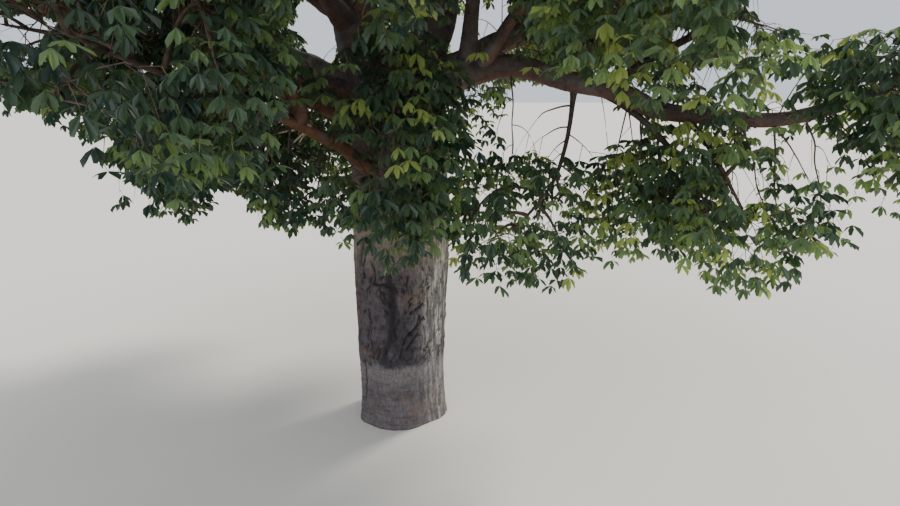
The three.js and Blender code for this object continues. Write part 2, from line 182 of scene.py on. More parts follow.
# Bark of the trunk: three bands by height; scars with painted shade in them, painted shade down its middle
# valley and painted sunlight on its sides, all from its mesh; grain from noise.
def paintTrunk():
    paint = Paint("trunk_bark_grey", trunkTones)
    rise, lay, noise, place = paint.rise, paint.lay, paint.noise, paint.place()
    scar_and_shade, painted_shade, sunlit_silver = (paint.attribute(name) for name in ("scar_and_shade", "painted_shade", "sunlit_silver"))
    height = paint.node("ShaderNodeSeparateXYZ", None, {0: place}, output="Z")
    broad = noise(place, 1.7, 4)
    patch = noise(place, 6.5, 6, 0.65)
    grain = noise(place, 34, 8, 0.7, (1, 1, 0.45))
    streak = noise(place, 17, 6, 0.62, (1, 1, 0.14))
    wrinkle = noise(place, 2.6, 6, 0.6, (1.6, 1.6, 11))
    values = {"Vector": paint.stretched(place, (1, 1, 0.5)), "Scale": 15}
    crackle = paint.node("ShaderNodeTexVoronoi", {"feature": "DISTANCE_TO_EDGE"}, values)
    level = height + (patch - 0.5) * 0.22
    rough = rise(level, 0.86, 1.0) * (1 - rise(level, 2.1, 2.75))
    foot = 1 - rise(level, 0.8, 1.02)
    band = rise(level, 0.6, 0.8) * (1 - rise(level, 0.9, 0.96))
    shade = rise(painted_shade + (patch - 0.5) * 1.5, 0.25, 0.75) * rise(painted_shade, 0.0, 0.3)
    cracks = (1 - rise(crackle, 0.0, 0.09)) * rough * rise(patch, 0.42, 0.6)
    lay("high", rise(level, 0.9, 2.6))
    lay("middle", rough * 0.85)
    # painted shade in the grooves of the wrinkles, more on the foot
    lay("painted_shade", (1 - rise(wrinkle, 0.38, 0.47)) * (0.25 + foot * 0.2))
    lay("peeled", rise(broad, 0.52, 0.68) * 0.55)
    lay("low", rise(patch, 0.35, 0.75) * 0.5, "MULTIPLY")
    # painted sunlight in pale silver on the lit sides, brighter in the bark's streaks; then the same tone in
    # patches on a band just under the foot's top
    lay("sunlit_silver", sunlit_silver * 0.15)
    lay("sunlit_silver", rise(streak, 0.4, 0.62) * sunlit_silver)
    lay("sunlit_silver", band * patch * 0.18)
    # painted shade down the middle valley, patchy at its edges
    lay("painted_shade", shade * 0.75)
    # darker in the low grain, the cracks and the scars: partly the bark's own dark, partly painted shade in
    # these hollows
    lay("scar_and_shade", rise(grain, 0.62, 0.42) * 0.35)
    lay("scar_and_shade", cracks * 0.7)
    lay("scar_and_shade", rise(scar_and_shade, 0.25, 0.8) * 0.85)
    relief = grain * 0.45 + streak * 0.35 + patch * 0.5 + wrinkle * 0.8 - cracks * 0.45
    return paint.wood(0.78 + grain * 0.2, relief, 0.75, 0.03, 0.3)


# the last layer is painted light bounced up from the ground onto the underside, in a redder tone
boughLayers = ["ground", "main", "grey", "crease", "bounce_lit_underside"]
boughTones = {
    "bough_bark_red": [(97, 78, 69), (136, 96, 72), (130, 124, 121), (44, 35, 32), (126, 80, 58)],
    "bough_bark_grey": [(74, 66, 67), (98, 82, 76), (130, 124, 122), (36, 30, 31), (118, 78, 62)],
    "bough_bark_dark": [(55, 47, 45), (72, 60, 54), (92, 87, 84), (29, 25, 25), (84, 60, 50)],
}


# Bark of the boughs creases across them, so its noise runs on the limb's own straightened place.
def paintBough(name):
    paint = Paint(name, dict(zip(boughLayers, boughTones[name])))
    rise, lay, noise = paint.rise, paint.lay, paint.noise
    place, bounce_lit_underside = paint.attribute("straight", "Vector"), paint.attribute("bounce_lit_underside")
    broad = noise(place, 1.3, 4)
    patch = noise(place, 8, 6, 0.65)
    crease = noise(place, 1.0, 6, 0.62, (5, 5, 34))
    grain = noise(place, 60, 6, 0.7)
    fibre = noise(place, 1.0, 5, 0.6, (26, 26, 2.4))
    lay("main", rise(patch, 0.36, 0.66))
    lay("grey", rise(broad, 0.47, 0.66) * 0.75)
    # painted light bounced from the ground onto the underside, patchy
    lay("bounce_lit_underside", rise(bounce_lit_underside + (patch - 0.5) * 0.8, 0.25, 0.85) * 0.6)
    # darker in the creases and between the fibres: partly the bark's own dark, partly painted shade in them
    lay("crease", rise(crease, 0.45, 0.34) * 0.4)
    lay("crease", rise(fibre, 0.42, 0.32) * 0.3)
    lay("grey", rise(grain, 0.58, 0.8) * 0.3)
    relief = crease * 0.8 + grain * 0.25 + fibre * 0.35 + patch * 0.4
    return paint.wood(0.66 + grain * 0.22, relief, 0.7, 0.018, 0.35)


# Young wood: smoother, with pale pores.
def paintTwig():
    paint = Paint("twig_bark", {"ground": (64, 51, 44), "pale": (102, 84, 70), "pore": (140, 128, 112)})
    place = paint.place()
    patch = paint.noise(place, 9, 4)
    grain = paint.noise(place, 90, 4)
    paint.lay("pale", paint.rise(patch, 0.35, 0.65))
    paint.lay("pore", paint.rise(grain, 0.6, 0.75) * 0.5)
    return paint.wood(0.62 + grain * 0.2, grain + patch * 0.5, 0.4, 0.004)


# Bare wood: pale, in streaks.
def paintTornWood():
    paint = Paint("torn_wood", {"ground": (146, 112, 88), "pale": (216, 204, 190)})
    streak = paint.noise(paint.place(), 1.6, stretch=(26, 26, 9))
    paint.lay("pale", paint.rise(streak, 0.35, 0.65))
    return paint.wood(0.8, streak, 0.6, 0.006)


# A leaf tint is plain, and lets a share of the light through in a yellower green.
def paintLeaf(name, face, through, share):
    paint = Paint(name, {"face": face, "through": through})
    gloss = {"Roughness": 0.4, "Specular IOR Level": 0.5, "Coat Weight": 0.15, "Coat Roughness": 0.3}
    glow = paint.node("ShaderNodeBsdfTranslucent", None, {"Color": paint.tones["through"]})
    return paint.finish(paint.node("ShaderNodeMixShader", None, {0: share, 1: paint.surface(gloss), 2: glow}))


leafTints = [  # from the shaded side of the crown to its lit side
    ("leaf_blue_green", (48, 70, 66), (72, 102, 68), 0.26),
    ("leaf_deep_green", (54, 73, 58), (84, 112, 62), 0.28),
    ("leaf_green", (72, 94, 74), (112, 142, 80), 0.36),
    ("leaf_fresh_green", (102, 126, 88), (152, 180, 92), 0.44),
    ("leaf_yellow_green", (144, 162, 96), (200, 212, 108), 0.5),
    ("leaf_straw", (160, 150, 110), (200, 186, 122), 0.36),
]

trunkPaint = paintTrunk()
boughPaints = {name: paintBough(name) for name in boughTones}
twigPaint = paintTwig()
leafPaints = [paintLeaf(*tint) for tint in leafTints]
stalkPaint = paintLeaf("leaf_stalk", (118, 122, 62), (150, 150, 70), 0.2)
woodPaint = paintTornWood()
print("finishes made")


def link(name, data):
    made = bpy.data.objects.new(name, data)
    bpy.context.scene.collection.objects.link(made)
    return made


def makeCamera():
    data = bpy.data.cameras.new("photo_view")
    data.lens = view["lens"]
    data.sensor_width = view["sensor"]
    data.sensor_fit = "HORIZONTAL"
    data.clip_end = view["farthest"]
    data.dof.use_dof = False
    camera = link("photo_view", data)
    camera.location = view["place"]
    camera.rotation_euler = (math.radians(90 - view["pitch"]), 0, 0)
    bpy.context.scene.camera = camera


def makeStudio():
    half = studio["floorHalf"]
    corners = [(x * half, y * half, studio["floorLevel"]) for x, y in ((-1, -1), (1, -1), (1, 1), (-1, 1))]
    mesh = bpy.data.meshes.new("floor")
    mesh.from_pydata(corners, [], [(0, 1, 2, 3)])
    paint = Paint("floor_matt", {"matt": studio["floorTone"]})
    mesh.materials.append(paint.finish(paint.surface({"Roughness": 0.95})))
    floor = link("floor", mesh)
    world = bpy.data.worlds.new("studio")
    world.use_nodes = True
    sky = world.node_tree.nodes["Background"]
    sky.inputs["Color"].default_value = tone(*studio["skyTone"])
    sky.inputs["Strength"].default_value = studio["skyStrength"]
    bpy.context.scene.world = world
    for name, turns, strength, spread, colour in studio["suns"]:
        data = bpy.data.lights.new(name, "SUN")
        data.energy = strength
        data.angle = math.radians(spread)
        data.color = colour
        link(name, data).rotation_euler = [math.radians(angle) for angle in turns]


makeCamera()
makeStudio()
print("camera and studio set")


# A number from 0 to 1 for each index: the fraction of 43758.5453 sin(78.233 seed + 12.9898 index). With a
# count, the indices run from the first on by step.
def chance(seed, index, count=None, step=1):
    if count is not None:
        index = index + np.arange(count) * step
    value = np.sin(seed * 78.233 + np.asarray(index) * 12.9898) * 43758.5453
    return value - np.floor(value)


def unit(vectors):
    return vectors / np.maximum(np.linalg.norm(vectors, axis=-1, keepdims=True), 1e-9)


# Each vector less what of it lies along its axis, as a unit vector.
def square(vectors, axis):
    return unit(vectors - (vectors * axis).sum(-1, keepdims=True) * axis)


# (cos heading cos slope, sin heading cos slope, sin slope), both in degrees.
def direction(heading, slope=0.0):
    level, climb = math.radians(heading), math.radians(slope)
    flat = math.cos(climb)
    return np.array([math.cos(level) * flat, math.sin(level) * flat, math.sin(climb)])


# Sum over i of C(k, i) (1 - t)^(k - i) t^i times handle i, at each share t.
def bezier(handles, shares):
    shares, order = np.asarray(shares), handles.shape[-2] - 1
    terms = [math.comb(order, i) * (1 - shares) ** (order - i) * shares**i for i in range(order + 1)]
    return np.einsum("si,...ij->...sj", np.stack(terms, -1), handles)


def bezierTangent(handles, shares):
    return unit(bezier(np.diff(handles, axis=-2), shares))


# A mean of cosines, each with its own whole turns round and waves along, dealt out by seed.
def waves(angle, along, seed, count, turns, climb):
    rounds = np.round((2 * chance(seed, 0, count) - 1) * turns)
    rises = (2 * chance(seed, 100, count) - 1) * climb
    phases = fullTurn * chance(seed, 200, count)
    total = sum(np.cos(n * angle + k * along + p) for n, k, p in zip(rounds, rises, phases))
    return total / math.sqrt(count)


# Faces of count closed skins of steps rings, each with its two poles after its rings.
def skinFaces(count, steps, sides):
    ring = np.arange(steps - 1)[:, None] * sides
    here = np.arange(sides)[None, :]
    after = (here + 1) % sides
    quads = np.stack([ring + here, ring + after, ring + sides + after, ring + sides + here], -1)
    last = (steps - 1) * sides
    foot = np.stack([np.full(sides, steps * sides), after[0], here[0]], -1)
    head = np.stack([np.full(sides, steps * sides + 1), last + here[0], last + after[0]], -1)
    start = np.arange(count)[:, None, None] * (steps * sides + 2)
    tris = np.concatenate([foot, head])
    return (quads.reshape(-1, 4)[None] + start).reshape(-1, 4), (tris[None] + start).reshape(-1, 3)


# Path plus radius (cos a side + sin a (tangent x side)), with side square to the path.
def tubes(paths, radii, sides):
    tangent = unit(np.gradient(paths, axis=1))
    chord = paths[:, -1] - paths[:, 0]
    across = np.cross(chord, up)
    steep = np.linalg.norm(across, axis=1) < 0.05 * np.linalg.norm(chord, axis=1)
    across[steep] = np.cross(chord[steep], [1.0, 0.0, 0.0])
    side = square(across[:, None], tangent)
    lift = np.cross(tangent, side)
    angle = np.arange(sides) * fullTurn / sides
    ring = np.cos(angle)[:, None] * side[:, :, None] + np.sin(angle)[:, None] * lift[:, :, None]
    if radii.ndim == 2:
        radii = radii[:, :, None]
    return paths[:, :, None] + radii[..., None] * ring


# Rings and poles of closed skins as one list of points.
def closed(rings, feet, heads):
    return np.concatenate([rings.reshape(len(rings), -1, 3), feet[:, None], heads[:, None]], axis=1)


# Tubes that end in a point: the last place on each path is its head pole.
def pointedTubes(paths, radii, sides):
    rings = tubes(paths, radii, sides)[:, :-1]
    return closed(rings, paths[:, 0], paths[:, -1]), *skinFaces(len(paths), rings.shape[1], sides)


# The values of a skin's rings, then none for its two poles.
def padded(values):
    return np.concatenate([values.ravel(), np.zeros(2)])


# Points, triangles and quads as one mesh that rides with the tree and stands for its nodes.
def addPiece(name, points, faceSets, paints, nodes, tints=None, smooth=True, attributes=None):
    mesh = bpy.data.meshes.new(name)
    mesh.vertices.add(points.size // 3)
    mesh.vertices.foreach_set("co", points.astype(np.float32).ravel())
    corners = np.concatenate([faces.ravel() for faces in faceSets]).astype(np.int32)
    widths = np.concatenate([np.full(len(faces), faces.shape[1]) for faces in faceSets])
    mesh.loops.add(len(corners))
    mesh.loops.foreach_set("vertex_index", corners)
    mesh.polygons.add(len(widths))
    mesh.polygons.foreach_set("loop_start", (np.cumsum(widths) - widths).astype(np.int32))
    mesh.polygons.foreach_set("use_smooth", np.full(len(widths), smooth))
    if tints is not None:
        mesh.polygons.foreach_set("material_index", tints.astype(np.int32))
    for paint in paints:
        mesh.materials.append(paint)
    for key, values in (attributes or {}).items():
        kind, field = ("FLOAT_VECTOR", "vector") if values.ndim == 2 else ("FLOAT", "value")
        layer = mesh.attributes.new(key, kind, "POINT")
        layer.data.foreach_set(field, values.astype(np.float32).ravel())
    mesh.update(calc_edges=True)
    piece = link(name, mesh)
    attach(piece, "root")
    if nodes:
        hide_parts(*nodes)


trunk = {
    "height": 5.1,
    "shoulder": 4.0,  # where it begins to round in between its boughs
    "closing": 0.97,
    "radius": 0.588,
    "swell": 0.062, "swellHeight": 2.9, "swellReach": 1.5,
    "flare": 0.055, "flareHeight": 0.23,
    "lean": 0.03,
    "folds": [(2, 0.022, 0.5), (3, 0.026, 2.1), (5, 0.018, 0.9), (9, 0.008, 0.2)],  # count, depth, facing
    "columns": 300, "rings": 304,
    "footTop": 0.95,  # of the smooth foot
    "roughTop": 2.35,  # of the rough band
    "scars": 300,  # long cuts in the rough band
    "pits": 90,  # small holes above it
    "sunlit_silver": [(62, 23, 1), (-128, 30, 0.7)],  # sides with painted sunlight, in pale silver: facing from the view, spread, strength
}

# Marks on the face of the trunk: facing in degrees, level, half length, half width, tilt in degrees, depth.
trunkMarks = [
    (-97, 1.75, 0.95, 0.06, 2, 0.042),  # the valley that runs up the middle
    (-112, 2.16, 0.17, 0.028, 84, 0.034),  # the ledge across it
    (-99, 2.12, 0.1, 0.024, 100, 0.026),
    (-62, 1.8, 0.17, 0.02, 62, 0.03),  # the two slanting cuts
    (-64, 1.52, 0.24, 0.024, 50, 0.034),
    (-72, 1.3, 0.12, 0.02, 35, 0.026),
    (-96, 0.96, 0.34, 0.014, 90, 0.012),  # the line above the smooth foot
    (-128, 1.15, 0.3, 0.02, -8, 0.02),
    (-142, 0.62, 0.42, 0.03, 3, 0.02),  # the folds that run down to the ground
    (-121, 0.48, 0.26, 0.018, -5, 0.011),
    (-74, 0.58, 0.24, 0.018, -8, 0.011),
    (-50, 0.52, 0.36, 0.024, 5, 0.015),
    (-139, 2.55, 0.3, 0.03, 12, 0.02),
    (-46, 2.1, 0.42, 0.024, -6, 0.024),
    (-38, 1.55, 0.36, 0.02, 4, 0.02),
    (84, 1.6, 0.8, 0.055, -4, 0.036),
    (12, 2.0, 0.9, 0.05, 3, 0.034),
    (158, 1.9, 0.85, 0.05, -3, 0.034),
    (60, 2.3, 0.2, 0.024, 55, 0.028),
    (126, 1.5, 0.22, 0.022, -58, 0.028),
]


def trunkCentre(height):
    height = np.asarray(height, float)
    return np.stack([trunk["lean"] * height / trunk["height"], 0 * height, height], -1)


# (radius + swell + flare) times 1 + the folds' cosines, rounded in above the shoulder.
def trunkRadius(angle, height):
    swell = trunk["swell"] * np.exp(-(((height - trunk["swellHeight"]) / trunk["swellReach"]) ** 2))
    flare = trunk["flare"] * np.exp(-height / trunk["flareHeight"])
    folded = 1 + sum(depth * np.cos(count * (angle - facing)) for count, depth, facing in trunk["folds"])
    past = np.maximum(0, (height - trunk["shoulder"]) / (trunk["height"] - trunk["shoulder"]))
    return (trunk["radius"] + swell + flare) * folded * np.sqrt(1 - (trunk["closing"] * past) ** 2)


# How deep each point of the trunk lies in a mark: exp(-(v / width)^2 - (u / length)^4) along u, across v.
def markDepth(angle, height, mark):
    facing, level, length, width, tilt, depth = mark
    turned = (angle - math.radians(facing) + math.pi) % fullTurn - math.pi
    across, rise, lean = turned * trunk["radius"], height - level, math.radians(tilt)
    along = across * math.sin(lean) + rise * math.cos(lean)
    aside = across * math.cos(lean) - rise * math.sin(lean) + 0.25 * along**2
    ends = np.exp(-((along / length) ** 4))
    cut = np.exp(-((aside / width) ** 2)) * ends
    lips = np.exp(-(((np.abs(aside) - 1.9 * width) / (0.9 * width)) ** 2)) * ends
    return depth * (0.3 * lips - cut), cut


# The marks, seeded cuts that lean to and from each other, and pits, each with how dark it is painted, as its
# own dark bark and painted shade in its hollow.
def seededMarks():
    marks = [(mark, min(1, mark[5] / 0.03) * (0.75 if mark[3] > 0.04 else 1)) for mark in trunkMarks]
    for index in range(trunk["scars"]):
        luck = chance(31, index, 7, 1000)
        tilt = (8 + 30 * luck[2]) * (1 if index % 2 else -1)
        level = 1.0 + 1.45 * luck[1] ** 0.9
        size = 0.035 + 0.065 * luck[3]
        mark = (360 * luck[0], level, size, 0.011 + 0.010 * luck[4], tilt, 0.008 + 0.010 * luck[5])
        marks.append((mark, 0.6 + 0.6 * luck[6]))
    for index in range(trunk["pits"]):
        luck = chance(57, index, 5, 1000)
        size = 0.016 + 0.022 * luck[2]
        level = trunk["roughTop"] + 1.6 * luck[1]
        mark = (360 * luck[0], level, size * 1.4, size, 0, 0.010 + 0.008 * luck[3])
        marks.append((mark, 0.3 + 0.5 * luck[4]))
    return marks


# Broad folds and fine wrinkles, a net of slanting cracks, and the marks.
def trunkRelief(angle, height):
    edge = height - trunk["footTop"] + 0.04 * waves(angle, height, 23, 7, 4, 2)
    foot = 1 / (1 + np.exp(edge / 0.045))
    rough = (1 - foot) / (1 + np.exp((height - trunk["roughTop"]) / 0.12))
    folds = [  # depth, then seed, count, turns and climb of the waves
        (0.015, 3, 8, 6, 2.4),
        (0.0055, 5, 10, 17, 8),
        (0.0022 + 0.003 * rough, 7, 14, 46, 22),
        (0.0034 * foot, 9, 12, 5, 90),
        (0.003 * rough, 13, 10, 70, 7),
    ]
    relief = sum(depth * waves(angle, height, *wave) for depth, *wave in folds) - 0.006 * foot
    drift = 1.6 * waves(angle, height, 11, 6, 4, 3)
    lines = [np.abs(np.sin(11 * angle + way * 4.6 * height + drift + way)) for way in (1, -1)]
    net = sum(np.exp(-((line / 0.13) ** 2)) for line in lines)
    net = net * rough * np.clip(0.55 + 0.9 * waves(angle, height, 17, 8, 7, 6), 0, 1)
    # dark in the cracks: their own dark bark with painted shade in them
    relief -= 0.007 * net
    scar_and_shade = 0.55 * np.clip(net, 0, 1)
    for mark, darkness in seededMarks():
        change, cut = markDepth(angle, height, mark)
        relief += change
        scar_and_shade = np.maximum(scar_and_shade, cut * darkness)
    return relief, scar_and_shade


# Centre plus (radius + relief) outward, by angle and height, and where it is scarred, with painted shade in
# the scars, where shade is painted down its middle valley, and where sunlight is painted on its sides in pale
# silver.
def makeTrunk():
    rings, columns = trunk["rings"], trunk["columns"]
    levels = np.linspace(0, trunk["height"], rings)
    height, angle = np.meshgrid(levels, np.arange(columns) * fullTurn / columns, indexing="ij")
    relief, scar_and_shade = trunkRelief(angle, height)
    relief *= np.clip((trunk["height"] - height) / 0.6, 0, 1)
    radius = trunkRadius(angle, height) + relief
    outward = np.stack([np.cos(angle), np.sin(angle), 0 * angle], -1)
    points = trunkCentre(height) + radius[..., None] * outward
    ends = trunkCentre(np.array([0, trunk["height"]]))
    facing = np.degrees((angle + math.pi / 2 + math.pi) % fullTurn - math.pi)  # 0 faces the view
    # painted sunlight on two sides, in pale silver, weaker on the foot
    sunlit_silver = sum(much * np.exp(-(((facing - at) / spread) ** 2)) for at, spread, much in trunk["sunlit_silver"])
    sunlit_silver = sunlit_silver * (0.4 + 0.6 * np.clip((height - 0.9) / 0.5, 0, 1))
    # painted shade down the middle valley that faces the view, from the foot's top to about 2.7 metres, in
    # patches
    spread = 15 + 20 * np.exp(-(((height - 1.1) / 0.45) ** 2))
    painted_shade = np.exp(-(((facing + 5) / spread) ** 4)) * np.clip((height - 0.93) / 0.04, 0, 1)
    patchy = np.clip(0.7 + 0.45 * waves(angle, height, 19, 9, 14, 12), 0, 1)
    painted_shade = painted_shade * np.clip((2.7 - height) / 1.0, 0, 1) * patchy
    sunlit_silver = np.clip(sunlit_silver, 0, 1)
    # the scars paler where sunlight is painted
    layers = {"scar_and_shade": padded(scar_and_shade * (1 - 0.45 * sunlit_silver)), "painted_shade": padded(painted_shade), "sunlit_silver": padded(sunlit_silver)}
    skin, faces = closed(points[None], ends[:1], ends[1:]), skinFaces(1, rings, columns)
    addPiece("bark_trunk", skin, faces, [trunkPaint], ["trunk"], attributes=layers)


makeTrunk()
print("trunk made")

# The limbs on each carrier: name, height on the trunk or share along the carrier, heading, reach, rise,
# leaving and arriving slopes, root and tip radius; then its mass: wide, tall, how far past the tip, lift.
limbRows = {
    "trunk": [
        ("bough_right_long", 4.385, -20, 5.65, 0.42, 39.5, 34, 0.172, 0.062, 1.7, 1.4, 0.55, 0.2),
        ("bough_right_upper", 4.65, 4, 3.05, 2.15, 24, 46, 0.165, 0.07, 1.8, 1.35, 0.9, 0.65),
        ("bough_front_left", 3.3, 239, 2.85, 1.33, 32, 14, 0.092, 0.052, 1.7, 1.35, 1.05, 0.35),
        ("bough_left_front", 4.25, 218, 4.6, 1.55, 18, 24, 0.18, 0.078, 1.8, 1.4, 1.05, 0.35),
        ("bough_left", 4.3, 172, 4.05, 1.0, 26, 12, 0.19, 0.078, 1.85, 1.45, 1.35, 0.25),
        ("bough_back_left", 4.4, 131, 3.9, 1.25, 22, 20, 0.175, 0.074, 1.8, 1.4, 1.05, 0.25),
        ("bough_back", 4.35, 95, 3.95, 1.45, 20, 24, 0.18, 0.076, 1.8, 1.4, 1.15, 0.3),
        ("bough_back_right", 4.4, 56, 4.0, 1.45, 26, 18, 0.175, 0.074, 1.8, 1.4, 1.05, 0.3),
        ("bough_front", 4.3, 263, 2.35, 1.6, 34, 28, 0.15, 0.07, 1.55, 1.3, 0.95, 0.45),
        ("leader_left", 4.2, 162, 1.65, 4.3, 62, 74, 0.285, 0.088, 2.05, 1.35, -0.3, 0.95),
        ("leader_right", 4.2, 18, 1.35, 4.45, 66, 76, 0.26, 0.084, 2.0, 1.3, -0.3, 0.95),
    ],
    "bough_right_long": [
        ("limb_right_riser", 0.17, 296, 0.85, 2.5, 84, 62, 0.1, 0.054, 1.8, 1.35, 0.5, 0.65),
        ("limb_right_rising", 0.2, 304, 2.05, 1.15, 46, 14, 0.078, 0.052, 1.65, 1.25, 0.9, -0.2),
        ("limb_right_middle", 0.5, 2, 0.95, 0.65, 48, 30, 0.06, 0.044, 1.6, 1.2, 0.6, 0.45),
        ("limb_right_droop", 0.455, 346, 1.1, -0.85, -28, -44, 0.046, 0.032, 1.2, 0.95, -0.15, -0.45),
        ("limb_right_hanging", 0.42, 185, 0.15, -1.05, -86, -75, 0.032, 0.024, 1.25, 0.9, 0.4, -0.55),
        ("limb_right_outer", 0.63, 330, 0.56, -0.62, -35, -58, 0.042, 0.028, 1.2, 1.1, 0.15, -0.25),
    ],
    "bough_front": [
        ("limb_front_low", 0.42, 285, 0.62, 0.12, 6, -34, 0.058, 0.036, 0.95, 1.5, 0.15, -0.95),
    ],
    "bough_left": [
        ("limb_left_low", 0.4, 225, 0.75, -0.45, -12, -46, 0.06, 0.038, 1.45, 1.1, 0.45, -0.6),
    ],
    "bough_back": [
        ("limb_back_low", 0.45, 142, 0.8, -0.35, 0, -42, 0.058, 0.038, 1.35, 1.0, 0.4, -0.55),
    ],
    "bough_back_right": [
        ("limb_right_back", 0.42, 9, 2.7, 0.8, 24, 14, 0.105, 0.058, 1.7, 1.3, 1.0, 0.25),
    ],
    "leader_left": [
        ("limb_left_upper", 0.34, 187, 2.05, 1.55, 30, 40, 0.125, 0.062, 1.8, 1.35, 0.95, 0.55),
        ("limb_back_left_upper", 0.42, 108, 1.95, 1.35, 30, 36, 0.115, 0.062, 1.75, 1.35, 0.85, 0.45),
        ("limb_front_left_upper", 0.27, 238, 1.9, 2.15, 36, 46, 0.115, 0.062, 1.85, 1.4, 0.35, 0.65),
    ],
    "leader_right": [
        ("limb_back_right_upper", 0.42, 58, 1.95, 1.4, 30, 38, 0.114, 0.06, 1.8, 1.35, 0.85, 0.45),
    ],
}

massNames = {  # of the masses that aren't named after their limb
    "bough_right_long": "mass_right",
    "leader_left": "mass_top_left",
    "leader_right": "mass_top_right",
    "limb_right_riser": "mass_front_right_upper",
    "limb_right_rising": "mass_front_right",
    "limb_right_droop": "mass_right_low",
    "limb_front_low": "mass_trunk_front",
}

limbShape = {
    "handle": 0.45,  # of the straight way to the tip
    "collar": 0.45,  # how much the base swells
    "collarReach": 2.2,  # root radii that the swelling fades over
    "taper": 0.9,
    "ringEvery": 0.02,
    "sides": 26,
    "crook": 0.2,  # of its radius, how far it wanders from the smooth curve
    "lumps": 0.055,
    "creases": 0.0017,
    "thin": 0.07,  # root radius below which its bark is dark
    "red": ["bough_front_left", "bough_left_front", "limb_left_low"],
}


# Root to tip times 1 + the collar, which fades with what shows past the carrier's skin.
def limbRadius(limb, shares):
    shown = np.maximum(0, shares * limb["length"] - limb["buried"])
    collar = 1 + limbShape["collar"] * np.exp(-shown / (limbShape["collarReach"] * limb["root"]))
    return (limb["root"] + (limb["tip"] - limb["root"]) * shares ** limbShape["taper"]) * collar


# Start, start plus a handle along the leaving slope, tip less a handle along the arriving slope, tip.
def placeLimb(row, parent):
    name, at, heading, reach, rise, leave, arrive, root, tip, wide, tall, ahead, lift = row
    start = bezier(parent["handles"], [at])[0] if parent else trunkCentre(at)
    away = direction(heading)
    end = start + reach * away + rise * up
    handle = limbShape["handle"] * np.linalg.norm(end - start)
    inner = start + handle * direction(heading, leave)
    outer = end - handle * direction(heading, arrive)
    limb = {"name": name, "handles": np.stack([start, inner, outer, end]), "root": root, "tip": tip}
    steps = np.diff(bezier(limb["handles"], np.linspace(0, 1, 201)), axis=0)
    limb["length"] = np.linalg.norm(steps, axis=1).sum()
    limb["buried"] = limbRadius(parent, at) if parent else trunk["radius"]
    mass = massNames.get(name, "mass_" + name.split("_", 1)[1])
    limb["mass"] = {"name": mass, "wide": wide, "tall": tall, "middle": end + ahead * away + lift * up}
    return limb


limbs = {}
for carrier, rows in limbRows.items():
    for row in rows:
        limbs[row[0]] = placeLimb(row, limbs.get(carrier))


# A tube along the limb that wanders a little, with lumps, creases across it and its straightened place.
def makeLimb(limb, seed):
    steps = max(30, round(limb["length"] / limbShape["ringEvery"]))
    sides = limbShape["sides"]
    shares = np.linspace(0.35 * limb["buried"] / limb["length"], 1, steps)
    path = bezier(limb["handles"], shares)
    radius = limbRadius(limb, shares)
    along = shares * limb["length"]
    hold = np.clip(along / 0.9 - 0.6, 0, 1) * np.clip((limb["length"] - along) / 0.5, 0, 1)
    drift = np.stack([waves(0, along, seed + 40 + axis, 4, 0, 5.5) for axis in range(3)], -1)
    path = path + ((limbShape["crook"] * radius + 0.006) * hold)[:, None] * drift
    turn, way = np.meshgrid(np.arange(sides) * fullTurn / sides, along)
    lumps = waves(turn, way, seed + 60, 8, 3, 7)
    creases = waves(turn, way, seed + 70, 12, 3, 120) * np.clip(radius / 0.1, 0.25, 1.2)[:, None]
    grown = radius[:, None] * (1 + limbShape["lumps"] * lumps * hold[:, None])
    grown = grown + limbShape["creases"] * creases
    rings = tubes(path[None], grown[None], sides)
    way = way + 7.0 * seed
    straight = np.stack([grown * np.cos(turn), grown * np.sin(turn), way], -1).reshape(-1, 3)
    # how far down round the limb each point lies, for the painted light bounced up from the ground
    bounce_lit_underside = padded(np.clip((path[:, None, 2] - rings[0, ..., 2]) / grown, 0, 1))
    layers = {"straight": np.concatenate([straight, way[[0, -1], :1] * up]), "bounce_lit_underside": bounce_lit_underside}
    name = limb["name"]
    finish = "bough_bark_red" if name in limbShape["red"] else "bough_bark_grey"
    if limb["root"] < limbShape["thin"]:
        finish = "bough_bark_dark"
    skin, faces = closed(rings, path[:1], path[-1:]), skinFaces(1, steps, sides)
    addPiece("bark_" + name, skin, faces, [boughPaints[finish]], [name], attributes=layers)


for number, limb in enumerate(limbs.values()):
    makeLimb(limb, number + 1)
print("limbs made")

stub = {
    "limb": "bough_front_left",
    "at": 0.69,
    "way": (-0.12, -0.05, 0.99),
    "length": 0.3,
    "rings": 22, "sides": 20,
    "radii": [0.1, 0.092, 0.094, 0.1, 0.09],
    "splinterAt": 0.62,
    "splinters": [  # way, length, radius
        (-0.72, -0.15, -0.6, 0.3, 0.021),
        (-0.58, -0.2, -0.72, 0.25, 0.018),
        (-0.95, -0.05, -0.16, 0.46, 0.015),
        (-0.25, -0.85, 0.45, 0.09, 0.032),
    ],
}


